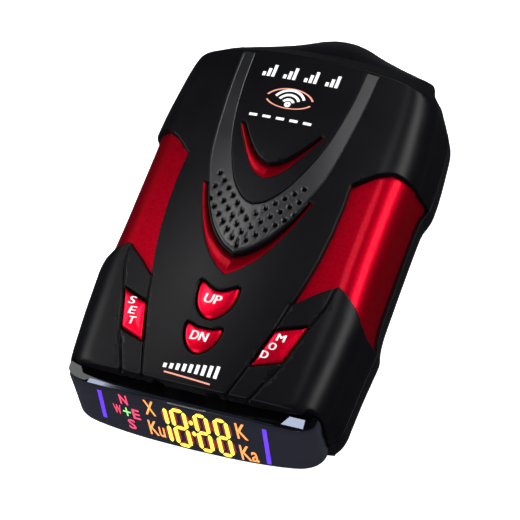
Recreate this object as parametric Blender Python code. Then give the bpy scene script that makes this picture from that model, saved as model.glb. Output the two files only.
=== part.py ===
"""Dashboard radar detector: moulded case, red side trims, display head, keys and inner units.

Lengths in the design tables are millimetres, and the object is built in metres.
+Z is up, the display looks toward -Y, and the horn and the laser window look toward +Y.
The origin is on the surface the feet rest on, under the middle of the object's box.
"""

import math

import bmesh
import bpy

for old in list(bpy.data.objects):
    bpy.data.objects.remove(old, do_unlink=True)

MM = 0.001
GAP = 0.3                  # clearance between neighbouring solids
FAR = 70.0                 # reach of a cutter that passes right through
PLACE_Y = -2.25            # moves the design tables so that the box is centred

# Case
SEAM_Z = 10.0              # parting line of the two half shells
SEAM_GAP = 0.3
CROWN_Z = 31.4             # highest point of the top
CROWN_Y = -3.0
CROWN_X_FALL = 0.0026      # fall per square millimetre, across
CROWN_Y_FALL = 0.00055     # fall per square millimetre, along
SHELL = 2.0                # wall at the top and the ends
SIDE_WALL = 3.6            # wall at the sides, behind the trims
BASE_Z = 1.0               # underside of the lower shell
FLOOR = 2.0
SILL_Y = -51.0             # front wall behind the display head
BROW_Z = 25.6              # underside of the front brow
HEAD_HALF = 35.2           # half width of the display recess
HEAD_LOW = 6.6             # underside and top of the display head
HEAD_HIGH = 23.0
HEAD_HALF_WIDTH = 35.0
BAY_LOW = 8.4              # bay behind the display cover
BAY_HIGH = 21.4

# Trim panels, red
TRIM_DROP = 0.9            # below the black shoulders
TRIM_WALL = 1.2
TRIM_POCKET = 2.4

# Keys
KEY_FLANGE = 0.9
KEY_FLANGE_RIM = 0.9
KEY_STEM = 1.5             # radius
KEY_STEM_END = 24.4        # underside of a key's stem

# Grille
HOLE_RADIUS = 0.6
ARM_STEP = 2.0             # hole spacing across and along an arm
ROW_STEP = 3.95
GRILLE_APEX = -3.2
HOLES_PER_ARM = 6

# Fasteners and feet
CASE_SCREW_X = 29.4
CASE_SCREW_Y = {-1: -37.0, 1: 34.6}    # front and rear pair
BOARD_SCREW_X = 25.0
BOARD_SCREW_Y = 22.0
KEY_SCREW_X = 12.0
KEY_SCREW_Y = -29.0
FOOT_X = 25.0
FOOT_Y = 44.5
FOOT_RADIUS = 4.5
FOOT_HEIGHT = 1.6

# Plan outlines of the case, right half from rear to front: at the seam, where the shoulder starts, at the top
CASE_BASE = [
    (0, 56.0), (10, 55.9), (20, 55.4), (26, 54.9), (29.8, 53.8), (32.6, 51.4), (34.4, 48.4),
    (36.2, 45.2), (38.1, 41.2), (38.9, 35), (39.5, 27.5), (39.7, 21.4), (39.0, 18.0), (38.2, 14.8),
    (38.0, 5), (38.0, -8), (38.1, -17), (38.6, -21.5), (39.4, -24.8), (39.1, -29.5), (38.6, -36.4),
    (38.3, -43.3), (38.1, -49.0), (37.4, -52.2), (34.6, -53.4), (14, -53.6), (0, -53.7),
]
CASE_SIDE = [
    (0, 54.6), (10, 54.4), (19.8, 53.5), (25, 52.7), (28.8, 51.7), (31.8, 50.2), (33.9, 48.0),
    (35.3, 45.2), (36.3, 41.0), (37.0, 34.5), (37.7, 27.0), (38.0, 21.2), (37.9, 18.0), (37.75, 14.6),
    (37.6, 5), (37.6, -8), (37.8, -17), (38.1, -21.5), (38.25, -24.8), (37.9, -29.5), (37.5, -36.4),
    (36.9, -43.3), (36.2, -49.0), (35.3, -52.0), (33.0, -53.2), (14, -53.4), (0, -53.5),
]
CASE_TOP = [
    (0, 51.6), (9.8, 51.4), (19.0, 50.4), (23.6, 49.2), (26.2, 47.8), (27.4, 45.8), (27.8, 43.6),
    (28.0, 41.2), (28.2, 37.6), (28.4, 32.4), (28.6, 26.0), (28.6, 20.6), (28.6, 17.6), (28.6, 14.2),
    (28.6, 5), (28.6, -8), (28.9, -17), (29.0, -21), (29.0, -24), (28.9, -29), (28.6, -35.5),
    (28.2, -42), (27.8, -47.6), (26.8, -50.6), (24, -51.6), (12, -52.0), (0, -52.2),
]
# Line across the rear where the top breaks into the rear slope
SLOPE_LINE = [(0, 48.0), (12, 47.9), (20, 47.3), (25, 46.7), (29, 45.7), (32, 44.2), (34.5, 42.0), (37, 38.8),
              (41, 33.0)]
SLOPE_FALL = 1.25
TRIM_OUTLINE = [
    (23.5, 12.2), (28.5, 16.8), (33.0, 19.2), (FAR, 19.2), (FAR, -24.6), (38.3, -24.6),
    (35.8, -21.0), (32.6, -18.2), (29.6, -16.8), (24.7, -20.8), (19.8, -25.4),
    (21.3, -19.0), (22.6, -11.5), (23.4, -3.0), (23.7, 5.0),
]
BAND_OUTER = [(0, -14.9), (3.6, -12.8), (7.8, -8.3), (11.4, -2.2), (13.9, 4.0), (16.2, 10.5),
              (17.6, 18.0), (18.6, 27.0), (19.4, 36.0), (19.8, 46.4)]
BAND_INNER = [(0, 0.3), (2.6, 1.2), (5.0, 3.2), (7.8, 7.0), (10.2, 12.0), (12.0, 16.6),
              (13.6, 22.0), (14.9, 28.5), (15.9, 37.0), (16.4, 46.4)]
UPPER_OUTER = [(0, 8.4), (3.1, 9.9), (6.0, 13.3), (8.6, 17.8), (10.6, 21.2), (11.9, 23.8)]
UPPER_INNER = [(0, 13.1), (3.0, 14.3), (5.6, 16.8), (7.9, 19.8), (9.6, 22.4), (10.9, 24.4)]
LOWER_OUTER = [(0, -21.4), (3.4, -18.9), (7.4, -14.5), (10.8, -8.6), (13.5, -2.2), (15.7, 4.2)]
LOWER_INNER = [(0, -15.5), (3.9, -13.4), (8.2, -8.9), (11.6, -2.9), (13.3, 1.2), (14.4, 4.6)]
UP_KEY = [(0, -25.9), (2.2, -25.4), (4.2, -24.3), (5.3, -24.0), (5.9, -25.2), (5.7, -28.0),
          (4.9, -30.8), (3.4, -33.0), (1.6, -34.4), (0, -34.8)]
DOWN_KEY = [(0, -36.9), (2.2, -36.8), (4.2, -36.2), (5.0, -36.2), (5.4, -37.4), (5.0, -39.8),
            (3.9, -42.2), (2.3, -43.9), (1.0, -44.6), (0, -44.7)]
SET_KEY = [(26.2, -29.6), (17.8, -33.0), (14.7, -44.6), (22.7, -41.5)]
GROOVES = [
    [(29.2, -17.0), (28.4, -23.4), (26.4, -29.6), (23.0, -41.4), (20.0, -48.0), (17.2, -54.5)],
    [(19.6, -25.4), (18.0, -33.0), (15.6, -41.0), (13.8, -47.0), (11.4, -54.5)],
]
HEAD_FOOT = [(0, -62.0), (14, -61.9), (26, -61.2), (32.4, -59.8), (35.0, -56.2), (35.0, -51.3)]
HEAD_BROW = [(0, -57.6), (14, -57.5), (25, -56.9), (31.0, -55.8), (33.2, -53.6), (33.4, -51.3)]
# Rear window, right half: underside, outermost edge, top against the case
WINDOW_LOW = [(0, 64.4), (3.3, 64.1), (7.3, 63.0), (12.3, 60.8), (18, 58.6), (24.6, 56.4), (27.6, 54.6), (28.4, 50.0)]
WINDOW_CREST = [(0, 66.5), (3.3, 66.1), (7.3, 64.9), (12.3, 62.5), (18, 60.3), (24.6, 58.0), (28.4, 56.2), (29.6, 50.0)]
WINDOW_HIGH = [(0, 55.4), (3.3, 55.3), (7.3, 55.1), (12.3, 54.8), (18, 54.2), (23.6, 53.4), (26.4, 52.6), (27.4, 48.0)]

root = bpy.data.objects.new("assembly", None)
bpy.context.scene.collection.objects.link(root)


# ---------------------------------------------------------------- materials

def paint(name, colour, rough, metal=0.0):
    """A Principled material from a colour in linear light."""
    found = bpy.data.materials.get(name)
    if found:
        return found
    made = bpy.data.materials.new(name)
    made.use_nodes = True
    shader = made.node_tree.nodes["Principled BSDF"]
    shader.inputs["Base Color"].default_value = (*colour, 1.0)
    shader.inputs["Roughness"].default_value = rough
    shader.inputs["Metallic"].default_value = metal
    made.diffuse_color = (*colour, 1.0)
    return made


BLACK = paint("black_abs", (0.012, 0.012, 0.015), 0.45)
RED = paint("red_metallic_paint", (0.42, 0.004, 0.012), 0.28, 0.6)
GLOSS = paint("smoked_acrylic", (0.006, 0.007, 0.009), 0.06)
BOARD = paint("circuit_board", (0.01, 0.09, 0.03), 0.5)
STEEL = paint("zinc_plated_steel", (0.55, 0.55, 0.56), 0.35, 1.0)
CAST = paint("zinc_casting", (0.42, 0.43, 0.44), 0.4, 1.0)
RUBBER = paint("black_rubber", (0.015, 0.015, 0.015), 0.85)
PAPER = paint("speaker_paper", (0.03, 0.03, 0.03), 0.9)
CERAMIC = paint("patch_ceramic", (0.6, 0.55, 0.42), 0.6)
TACT = paint("switch_body", (0.02, 0.02, 0.02), 0.5)


# ---------------------------------------------------------------- mesh helpers

def finish(name, mesh, material, smooth=0.6):
    """Puts a mesh in the scene as one named piece."""
    made = bpy.data.objects.new(name, mesh)
    bpy.context.scene.collection.objects.link(made)
    mesh.materials.clear()
    mesh.materials.append(material)
    mesh.shade_smooth()
    mesh.set_sharp_from_angle(angle=smooth)
    made.parent = root
    return made


def close(name, points, faces, material=BLACK, split=False):
    """A closed mesh from millimetre points and faces, turned outward; split makes twisted faces triangles."""
    mesh = bpy.data.meshes.new(name)
    mesh.from_pydata([(x * MM, (y + PLACE_Y) * MM, z * MM) for x, y, z in points], [], faces)
    work = bmesh.new()
    work.from_mesh(mesh)
    bmesh.ops.remove_doubles(work, verts=work.verts, dist=0.002 * MM)
    if split:
        bmesh.ops.triangulate(work, faces=[face for face in work.faces if len(face.verts) == 4])
    bmesh.ops.recalc_face_normals(work, faces=work.faces)
    work.to_mesh(mesh)
    work.free()
    return finish(name, mesh, material)


def loft(name, rings, material=BLACK):
    """A solid through equal closed rings, with flat or fanned ends."""
    count = len(rings[0])
    points = [point for ring in rings for point in ring]
    faces = []
    for level in range(len(rings) - 1):
        for i in range(count):
            j = (i + 1) % count
            low = level * count
            faces.append((low + i, low + j, low + count + j, low + count + i))
    faces.append(tuple(range(count - 1, -1, -1)))
    faces.append(tuple(range((len(rings) - 1) * count, len(rings) * count)))
    return close(name, points, faces, material)


def prism(name, outline, low, high, material=BLACK):
    """An upright solid over an outline; low and high are heights or functions of x and y."""
    under = low if callable(low) else (lambda x, y: low)
    over = high if callable(high) else (lambda x, y: high)
    bottom = [(x, y, under(x, y)) for x, y in outline]
    top = [(x, y, over(x, y)) for x, y in outline]
    return loft(name, [bottom, top], material)


def tube_ring(x, y, radius, count):
    """A round outline."""
    return [(x + radius * math.cos(math.tau * i / count), y + radius * math.sin(math.tau * i / count))
            for i in range(count)]


def turned(name, x, y, profile, count=20, material=BLACK):
    """An upright turned solid; the profile lists radius and height from bottom to top."""
    rings = [[(px, py, z) for px, py in tube_ring(x, y, radius, count)] for radius, z in profile]
    return loft(name, rings, material)


def block(name, low, high, material=BLACK):
    """A box between two corners."""
    outline = [(low[0], low[1]), (high[0], low[1]), (high[0], high[1]), (low[0], high[1])]
    return prism(name, outline, low[2], high[2], material)


def boolean(piece, tool, operation, keep=False):
    """Cuts, joins or trims a piece by a tool and takes the result as its mesh."""
    step = piece.modifiers.new("step", "BOOLEAN")
    step.operation = operation
    step.object = tool
    step.solver = "EXACT"
    graph = bpy.context.evaluated_depsgraph_get()
    result = bpy.data.meshes.new_from_object(piece.evaluated_get(graph))
    piece.modifiers.clear()
    piece.data = result
    result.shade_smooth()
    result.set_sharp_from_angle(angle=0.6)
    if not keep:
        bpy.data.objects.remove(tool, do_unlink=True)
    return piece


def cut(piece, tool, keep=False):
    return boolean(piece, tool, "DIFFERENCE", keep)


def join(piece, tool, keep=False):
    return boolean(piece, tool, "UNION", keep)


def trim(piece, tool, keep=False):
    return boolean(piece, tool, "INTERSECT", keep)


def gather(name, tools):
    """Several separate cutters taken as one object."""
    work = bmesh.new()
    for tool in tools:
        work.from_mesh(tool.data)
        bpy.data.objects.remove(tool, do_unlink=True)
    mesh = bpy.data.meshes.new(name)
    work.to_mesh(mesh)
    work.free()
    return finish(name, mesh, BLACK)


# ---------------------------------------------------------------- outlines

def smooth_path(points, steps):
    """A Catmull-Rom curve through points, ends included."""
    first = (2 * points[0][0] - points[1][0], 2 * points[0][1] - points[1][1])
    last = (2 * points[-1][0] - points[-2][0], 2 * points[-1][1] - points[-2][1])
    run = [first, *points, last]
    path = []
    for i in range(1, len(run) - 2):
        a, b, c, d = run[i - 1:i + 3]
        for k in range(steps):
            t = k / steps
            path.append(tuple(
                0.5 * (2 * b[n] + (c[n] - a[n]) * t + (2 * a[n] - 5 * b[n] + 4 * c[n] - d[n]) * t * t
                       + (3 * b[n] - a[n] - 3 * c[n] + d[n]) * t ** 3)
                for n in (0, 1)))
    path.append(points[-1])
    return path


def whole(half, steps):
    """A closed outline, mirrored across x = 0, from a half that starts and ends on x = 0."""
    sharp = [(-half[1][0], half[1][1]), *half, (-half[-2][0], half[-2][1])]
    path = smooth_path(sharp, steps)[steps:-steps]
    path[0] = (0.0, path[0][1])
    path[-1] = (0.0, path[-1][1])
    other = [(-x, y) for x, y in reversed(path[1:-1])]
    return path + other


def both_arms(half, steps):
    """An open curve from the left end through x = 0 to the right end."""
    arm = smooth_path(half, steps)
    return [(-x, y) for x, y in reversed(arm[1:])] + arm


def inward(outline, distance):
    """Moves each point of a closed outline toward its inside."""
    count = len(outline)
    area = sum(outline[i][0] * outline[(i + 1) % count][1] - outline[(i + 1) % count][0] * outline[i][1]
               for i in range(count))
    side = 1 if area > 0 else -1
    moved = []
    for i in range(count):
        before = outline[i - 1]
        here = outline[i]
        after = outline[(i + 1) % count]
        first = unit(here[0] - before[0], here[1] - before[1])
        second = unit(after[0] - here[0], after[1] - here[1])
        one = (-first[1] * side, first[0] * side)
        two = (-second[1] * side, second[0] * side)
        scale = distance / max(0.35, 1 + one[0] * two[0] + one[1] * two[1])
        moved.append((here[0] + (one[0] + two[0]) * scale, here[1] + (one[1] + two[1]) * scale))
    return moved


def unit(x, y):
    length = math.hypot(x, y) or 1.0
    return x / length, y / length


def mirrored(outline):
    return [(-x, y) for x, y in reversed(outline)]


def crown(x, y):
    """Height of the case's top surface."""
    return CROWN_Z - CROWN_X_FALL * x * x - CROWN_Y_FALL * (y - CROWN_Y) ** 2


# ---------------------------------------------------------------- case

BASE = whole(CASE_BASE, 1)
SIDE = whole(CASE_SIDE, 1)
TOP = whole(CASE_TOP, 1)


def body(name, inset_side, inset_top, low, front=None):
    """The case's outer form, set in by a wall: drafted sides rolled over onto the crowned top."""
    base = inward(BASE, inset_side) if inset_side else BASE
    side = inward(SIDE, inset_side) if inset_side else SIDE
    if front is not None:
        base = [(x, max(y, front)) for x, y in base]
        side = [(x, max(y, front)) for x, y in side]
    level = []
    for (sx, sy), (tx, ty) in zip(side, TOP):
        if front is not None:
            ty = max(ty, front + 0.6)
        dx, dy = unit(tx - sx, ty - sy)
        reach = max(math.hypot(tx - sx, ty - sy), 0.6)
        if (tx - sx) * sx > 0:
            dx, dy, reach = (-1 if sx > 0 else 1) * abs(dx), dy, 0.6
        level.append((sx, sy, dx, dy, reach))
    rings = [[(x, y, low) for x, y in base]]
    if low < SEAM_Z:
        rings.append([(x, y, SEAM_Z) for x, y in base])
    for k in range(5):
        angle = math.radians(22.5 * k)
        ring = []
        for sx, sy, dx, dy, reach in level:
            along = reach * (1 - math.cos(angle))
            edge_z = crown(sx + dx * reach, sy + dy * reach) - inset_top
            ring.append((sx + dx * along, sy + dy * along, edge_z - reach * (1 - math.sin(angle))))
        rings.append(ring)
    last = rings[-1]
    for share in (0.66, 0.3):
        rings.append([(x * share, y * share, crown(x * share, y * share) - inset_top) for x, y, _ in last])
    count = len(last)
    points = [point for ring in rings for point in ring]
    faces = []
    for ring in range(len(rings) - 1):
        for i in range(count):
            j = (i + 1) % count
            base = ring * count
            faces.append((base + i, base + j, base + count + j, base + count + i))
    points.append((0.0, 0.0, crown(0, 0) - inset_top))
    top = (len(rings) - 1) * count
    for i in range(count):
        faces.append((top + i, top + (i + 1) % count, len(points) - 1))
    faces.append(tuple(range(count - 1, -1, -1)))
    return close(name, points, faces, split=True)


def strip(name, inner, outer, steps, low, high, shrink=0.0):
    """A plate between two arched curves; low and high give heights from x, y and the edge."""
    inside = both_arms(inner, steps)
    outside = both_arms(outer, steps)
    count = len(inside)
    outline = inside + list(reversed(outside))
    if shrink:
        outline = inward(outline, shrink)
    inside = outline[:count]
    outside = list(reversed(outline[count:]))
    rings = []
    for (ix, iy), (ox, oy) in zip(inside, outside):
        rings.append([(ix, iy, low(ix, iy, 0)), (ox, oy, low(ox, oy, 1)),
                      (ox, oy, high(ox, oy, 1)), (ix, iy, high(ix, iy, 0))])
    return loft(name, rings)


def rear_slope(drop):
    """A cutter for the slope from the top down to the rear edge, lowered by a wall."""
    rings = []
    for x, y in both_arms(SLOPE_LINE, 1):
        z = crown(x, y) - drop
        rings.append([(x, y, z), (x, y + 40, z - 40 * SLOPE_FALL), (x, y + 40, FAR), (x, y, FAR)])
    return loft("rear_slope", rings)


top_case = body("top_case", 0, 0, SEAM_Z + SEAM_GAP / 2)
cut(top_case, rear_slope(0))
cavity = body("cavity", SIDE_WALL, SHELL, SEAM_Z - 2, front=SILL_Y + SHELL)
cut(cavity, rear_slope(SHELL * 1.6))
cut(top_case, cavity)

# The display recess under the front brow
recess = [(-FAR, BROW_Z + 0.8), (-54.4, BROW_Z + 0.8), (-52.4, BROW_Z), (SILL_Y, BROW_Z - 0.8), (SILL_Y, 4),
          (-FAR, 4)]
left_end = [(-HEAD_HALF - 0.3, y, z) for y, z in recess]
right_end = [(HEAD_HALF + 0.3, y, z) for y, z in recess]
recess_tool = loft("recess_tool", [left_end, right_end])
cut(top_case, recess_tool, keep=True)


# ---------------------------------------------------------------- lower shell

def lower_rings(inset, low, profile):
    return [[(x, y, z) for x, y in inward(BASE, inset + extra)] for z, extra in profile]


bottom_case = loft("bottom_case", lower_rings(0, BASE_Z, [
    (BASE_Z, 2.2), (BASE_Z + 0.7, 1.2), (BASE_Z + 2.4, 0.5), (SEAM_Z - SEAM_GAP / 2, 0.0)]))
hollow = loft("hollow", lower_rings(SIDE_WALL, BASE_Z, [
    (BASE_Z + FLOOR, 0.6), (BASE_Z + FLOOR + 1.2, 0.0), (SEAM_Z + 2, 0.0)]))
hollow_limit = block("hollow_limit", (-FAR, SILL_Y + SHELL, 0), (FAR, FAR, FAR))
trim(hollow, hollow_limit)
cut(bottom_case, hollow)
cut(bottom_case, recess_tool)

# ---------------------------------------------------------------- trims

for side_name, side in (("right", TRIM_OUTLINE), ("left", mirrored(TRIM_OUTLINE))):
    pocket = prism("pocket", side, SEAM_Z - 1, FAR)
    pocket_core = body("pocket_core", TRIM_POCKET, TRIM_POCKET, SEAM_Z - 2)
    cut(pocket, pocket_core)
    cut(top_case, pocket)
    panel = prism("side_trim_" + side_name, inward(side, GAP / 2), SEAM_Z + SEAM_GAP, FAR)
    panel_outer = body("panel_outer", TRIM_DROP, TRIM_DROP, SEAM_Z - 2)
    trim(panel, panel_outer)
    panel_inner = body("panel_inner", TRIM_DROP + TRIM_WALL, TRIM_DROP + TRIM_WALL, SEAM_Z - 3)
    cut(panel, panel_inner)
    panel.data.materials.clear()
    panel.data.materials.append(RED)

# ---------------------------------------------------------------- grille band and red scoops

BAND_STEPS = 2
band_seat = strip("band_seat", BAND_INNER, BAND_OUTER, BAND_STEPS,
                  lambda x, y, edge: crown(x, y) - 1.5, lambda x, y, edge: FAR)
cut(top_case, band_seat)
speaker_grille = strip("speaker_grille", BAND_INNER, BAND_OUTER, BAND_STEPS,
                       lambda x, y, edge: crown(x, y) - 1.2,
                       lambda x, y, edge: crown(x, y) + (0.15 if edge == 0 else -0.35), GAP)

holes = []
for row in range(3):
    apex = GRILLE_APEX - ROW_STEP * row
    for k in range(-HOLES_PER_ARM, HOLES_PER_ARM + 1):
        hx = ARM_STEP * k
        hy = apex + ARM_STEP * abs(k)
        holes.append(prism("hole", tube_ring(hx, hy, HOLE_RADIUS, 6), 20, FAR))
cut(speaker_grille, gather("holes", holes))

speaker_port = prism("speaker_port", [(0, -12.6), (7.0, -7.0), (11.4, 1.0), (12.6, 6.0),
                                      (9.6, 8.6), (5.0, 1.6), (0, -1.2),
                                      (-5.0, 1.6), (-9.6, 8.6), (-12.6, 6.0), (-11.4, 1.0),
                                      (-7.0, -7.0)], 20, FAR)
cut(top_case, speaker_port)

for accent_name, inner, outer in (("accent_upper", UPPER_INNER, UPPER_OUTER),
                                  ("accent_lower", LOWER_INNER, LOWER_OUTER)):
    seat = strip("seat", inner, outer, 2, lambda x, y, edge: crown(x, y) - 1.7, lambda x, y, edge: FAR)
    cut(top_case, seat)
    scoop = strip(accent_name, inner, outer, 2, lambda x, y, edge: crown(x, y) - 1.4,
                  lambda x, y, edge: crown(x, y) - (1.0 if edge == 0 else 0.05), 0.2)
    scoop.data.materials.clear()
    scoop.data.materials.append(RED)

# ---------------------------------------------------------------- grooves in the front panel

GROOVE_HALF = 0.35
GROOVE_DEPTH = 0.7

for line in GROOVES:
    for sign in (1, -1):
        path = [(x * sign, y) for x, y in line]
        rings = []
        for i, (x, y) in enumerate(path):
            ahead = path[min(i + 1, len(path) - 1)]
            behind = path[max(i - 1, 0)]
            dx, dy = unit(ahead[0] - behind[0], ahead[1] - behind[1])
            z = crown(x, y)
            left = (x - dy * GROOVE_HALF, y + dx * GROOVE_HALF)
            right = (x + dy * GROOVE_HALF, y - dx * GROOVE_HALF)
            rings.append([(*left, z - GROOVE_DEPTH), (*right, z - GROOVE_DEPTH), (*right, z + 4), (*left, z + 4)])
        cut(top_case, loft("groove", rings))

# ---------------------------------------------------------------- keys

KEYS = {
    "button_up": (whole(UP_KEY, 1), (0.0, -29.4)),
    "button_down": (whole(DOWN_KEY, 1), (0.0, -40.4)),
    "button_set": (mirrored(SET_KEY), (-20.4, -37.2)),
    "button_mode": (SET_KEY, (20.4, -37.2)),
}
KEY_TOP_DROP = 0.15
KEY_FLANGE_TOP = 2.6       # below the crown


def key_piece(name, outline, centre):
    """A key cap with a retaining flange under the panel and a stem, on its slide's axis."""
    cx, cy = centre
    cap = inward(outline, 0.45)
    cap = [(x - cx, y - cy) for x, y in cap]
    rim = [(x - cx, y - cy) for x, y in inward(outline, -KEY_FLANGE_RIM)]
    piece = prism(name, cap, lambda x, y: crown(x + cx, y + cy) - KEY_FLANGE_TOP - 0.4,
                  lambda x, y: crown(x + cx, y + cy) - KEY_TOP_DROP, RED)
    flange = prism("flange", rim, lambda x, y: crown(x + cx, y + cy) - KEY_FLANGE_TOP - KEY_FLANGE,
                   lambda x, y: crown(x + cx, y + cy) - KEY_FLANGE_TOP)
    join(piece, flange)
    join(piece, turned("stem", 0, 0, [(KEY_STEM, KEY_STEM_END), (KEY_STEM, crown(cx, cy) - 2.9)], 12))
    piece.data.materials.clear()
    piece.data.materials.append(RED)
    for vertex in piece.data.vertices:
        vertex.co.y -= PLACE_Y * MM
    piece.location = (cx * MM, (cy + PLACE_Y) * MM, 0)
    return piece


for key_name, (outline, centre) in KEYS.items():
    cut(top_case, prism("key_hole", outline, 20, FAR))
    key_piece(key_name, outline, centre)


# ---------------------------------------------------------------- display head

def head_outline(points, shrink, back):
    """A plan outline of the display head, closed along its straight back."""
    arm = smooth_path(points, 2)
    line = [(-x, y) for x, y in reversed(arm[1:])] + arm
    moved = [(x * (1 - shrink / HEAD_HALF_WIDTH), min(y + shrink, back - 0.4)) for x, y in line]
    moved[0] = (moved[0][0], back)
    moved[-1] = (moved[-1][0], back)
    return moved


def head(name, shrink, low, high, back, material=GLOSS):
    """The display head's form between two heights, leaning forward toward its foot."""
    foot_line = head_outline(HEAD_FOOT, shrink, back)
    brow_line = head_outline(HEAD_BROW, shrink, back)
    rings = []
    for z in (low, high):
        share = (z - HEAD_LOW) / (HEAD_HIGH - HEAD_LOW)
        rings.append([(fx + (bx - fx) * share, fy + (by - fy) * share, z)
                      for (fx, fy), (bx, by) in zip(foot_line, brow_line)])
    return loft(name, rings, material)


display_housing = head("display_housing", 2.1, HEAD_LOW, HEAD_HIGH - 0.6, SILL_Y - 0.3, BLACK)
shelf = head("shelf", 0.7, HEAD_HIGH - 0.9, HEAD_HIGH, SILL_Y - 0.35)
join(display_housing, shelf)
bay = block("bay", (-31.0, -60.0, BAY_LOW), (31.0, -40.0, BAY_HIGH))
cut(display_housing, bay)
for half_shell in (top_case, bottom_case):
    cut(half_shell, block("bay_port", (-29.0, -60, BAY_LOW), (29.0, -47.0, BAY_HIGH)))

display_lens = head("display_lens", 0.0, HEAD_LOW, HEAD_HIGH - 1.2, SILL_Y - 0.3)
lens_core = head("lens_core", 1.8, HEAD_LOW - 3, HEAD_HIGH + 3, SILL_Y + 6)
cut(display_lens, lens_core)

# The unlit display unit stands upright in the bay, with its own board behind it
block("display_module", (-28.6, -54.6, 8.8), (28.6, -51.6, 20.8), GLOSS)
block("display_board", (-28.6, -51.2, 8.8), (28.6, -49.8, 21.0), BOARD)

# ---------------------------------------------------------------- rear window


def window_outline(points, shrink, back):
    arm = smooth_path(points, 1)
    line = [(-x, y) for x, y in reversed(arm[1:])] + arm
    moved = [(x * (1 - shrink / 28.0), y - shrink) for x, y in line]
    moved[0] = (moved[0][0], back)
    moved[-1] = (moved[-1][0], back)
    return moved


def window_form(name, shrink, lows, back):
    rings = []
    for points, z in zip((WINDOW_LOW, WINDOW_CREST, WINDOW_HIGH), lows):
        rings.append([(x, y, z) for x, y in window_outline(points, shrink, back)])
    return loft(name, rings, GLOSS)


WINDOW_WALL = 1.8
WINDOW_LEVELS = (6.0, 11.0, 19.6)
rear_lens = window_form("rear_lens", 0.0, WINDOW_LEVELS, 49.0)
core_levels = (WINDOW_LEVELS[0] + WINDOW_WALL, WINDOW_LEVELS[1], WINDOW_LEVELS[2] - WINDOW_WALL)
window_core = window_form("window_core", WINDOW_WALL, core_levels, 48.0)
cut(rear_lens, window_core)
keep_out = body("keep_out", -GAP, -GAP, SEAM_Z - 30)
cut(rear_lens, keep_out)
window_port = block("window_port", (-17.0, 46, SEAM_Z + SEAM_GAP / 2 + 1.4), (17.0, 60, 17.5))
cut(top_case, window_port)

# ---------------------------------------------------------------- bosses, screws and boards

MAIN_Z = 5.6
MAIN_THICK = 1.4
KEY_BOARD_Z = 18.2
KEY_BOARD_THICK = 1.2


def boss(x, y, radius, low, high, count=12):
    return turned("boss", x, y, [(radius, low), (radius, high)], count)


def crossed_screw(name, x, y, under_head, head_radius, head_height, shank_radius, tip, up=False):
    """A cross-recess screw; it points up, or down when up is false."""
    way = -1 if up else 1
    rings = [(shank_radius, tip), (shank_radius, under_head), (head_radius, under_head),
             (head_radius, under_head + way * head_height * 0.6),
             (head_radius * 0.6, under_head + way * head_height)]
    if up:
        rings = list(reversed(rings))
    piece = turned(name, x, y, rings, 12, STEEL)
    end = under_head + way * head_height
    low = min(end - way * head_height * 0.55, end + way)
    high = max(end - way * head_height * 0.55, end + way)
    wide = head_radius * 0.5
    thin = head_radius * 0.13
    arms = [(wide, thin), (thin, thin), (thin, wide), (-thin, wide), (-thin, thin), (-wide, thin),
            (-wide, -thin), (-thin, -thin), (-thin, -wide), (thin, -wide), (thin, -thin), (wide, -thin)]
    cross = prism("cross", [(x + ax, y + ay) for ax, ay in arms], low, high)
    cut(piece, cross)
    piece.data.materials.clear()
    piece.data.materials.append(STEEL)
    return piece


CORNERS = {"front_left": (-1, -1), "front_right": (1, -1), "rear_left": (-1, 1), "rear_right": (1, 1)}

for corner, (sx, sy) in CORNERS.items():
    x = CASE_SCREW_X * sx
    y = CASE_SCREW_Y[sy]
    # upper boss takes the thread, lower boss takes the head
    post = boss(x, y, 3.2, SEAM_Z + 0.4, crown(x, y) - 1.6)
    join(top_case, post)
    cut(top_case, boss(x, y, 1.5, SEAM_Z - 1, 21))
    join(bottom_case, boss(x, y, 3.6, BASE_Z + 0.4, SEAM_Z - 0.4))
    cut(bottom_case, boss(x, y, 1.6, BASE_Z - 1, SEAM_Z + 2))
    cut(bottom_case, boss(x, y, 2.7, BASE_Z - 1, BASE_Z + 3.0))
    crossed_screw("case_screw_" + corner, x, y, BASE_Z + 2.6, 2.3, 1.6, 1.2, 19.0, up=True)

    bx = BOARD_SCREW_X * sx
    by = BOARD_SCREW_Y * sy
    join(bottom_case, boss(bx, by, 2.4, BASE_Z + FLOOR - 0.4, MAIN_Z - GAP))
    cut(bottom_case, boss(bx, by, 1.1, BASE_Z + 1.4, MAIN_Z + 1))

    fx = FOOT_X * sx
    fy = FOOT_Y * sy
    cut(bottom_case, boss(fx, fy, FOOT_RADIUS + GAP, BASE_Z - 2, BASE_Z + 0.9, 20))
    turned("foot_" + corner, fx, fy, [(FOOT_RADIUS - 0.4, 0.0), (FOOT_RADIUS, 0.5),
                                      (FOOT_RADIUS, FOOT_HEIGHT)], 20, RUBBER)

main_board = block("main_board", (-30.0, -30.0, MAIN_Z), (30.0, 41.5, MAIN_Z + MAIN_THICK), BOARD)
for corner, (sx, sy) in CORNERS.items():
    cut(main_board, boss(CASE_SCREW_X * sx, CASE_SCREW_Y[sy], 4.2, 0, 20))
    bx = BOARD_SCREW_X * sx
    by = BOARD_SCREW_Y * sy
    cut(main_board, boss(bx, by, 1.2, 0, 20))
    crossed_screw("board_screw_" + corner, bx, by, MAIN_Z + MAIN_THICK + 0.2, 1.9, 1.3, 0.8, BASE_Z + 2.0)

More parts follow.
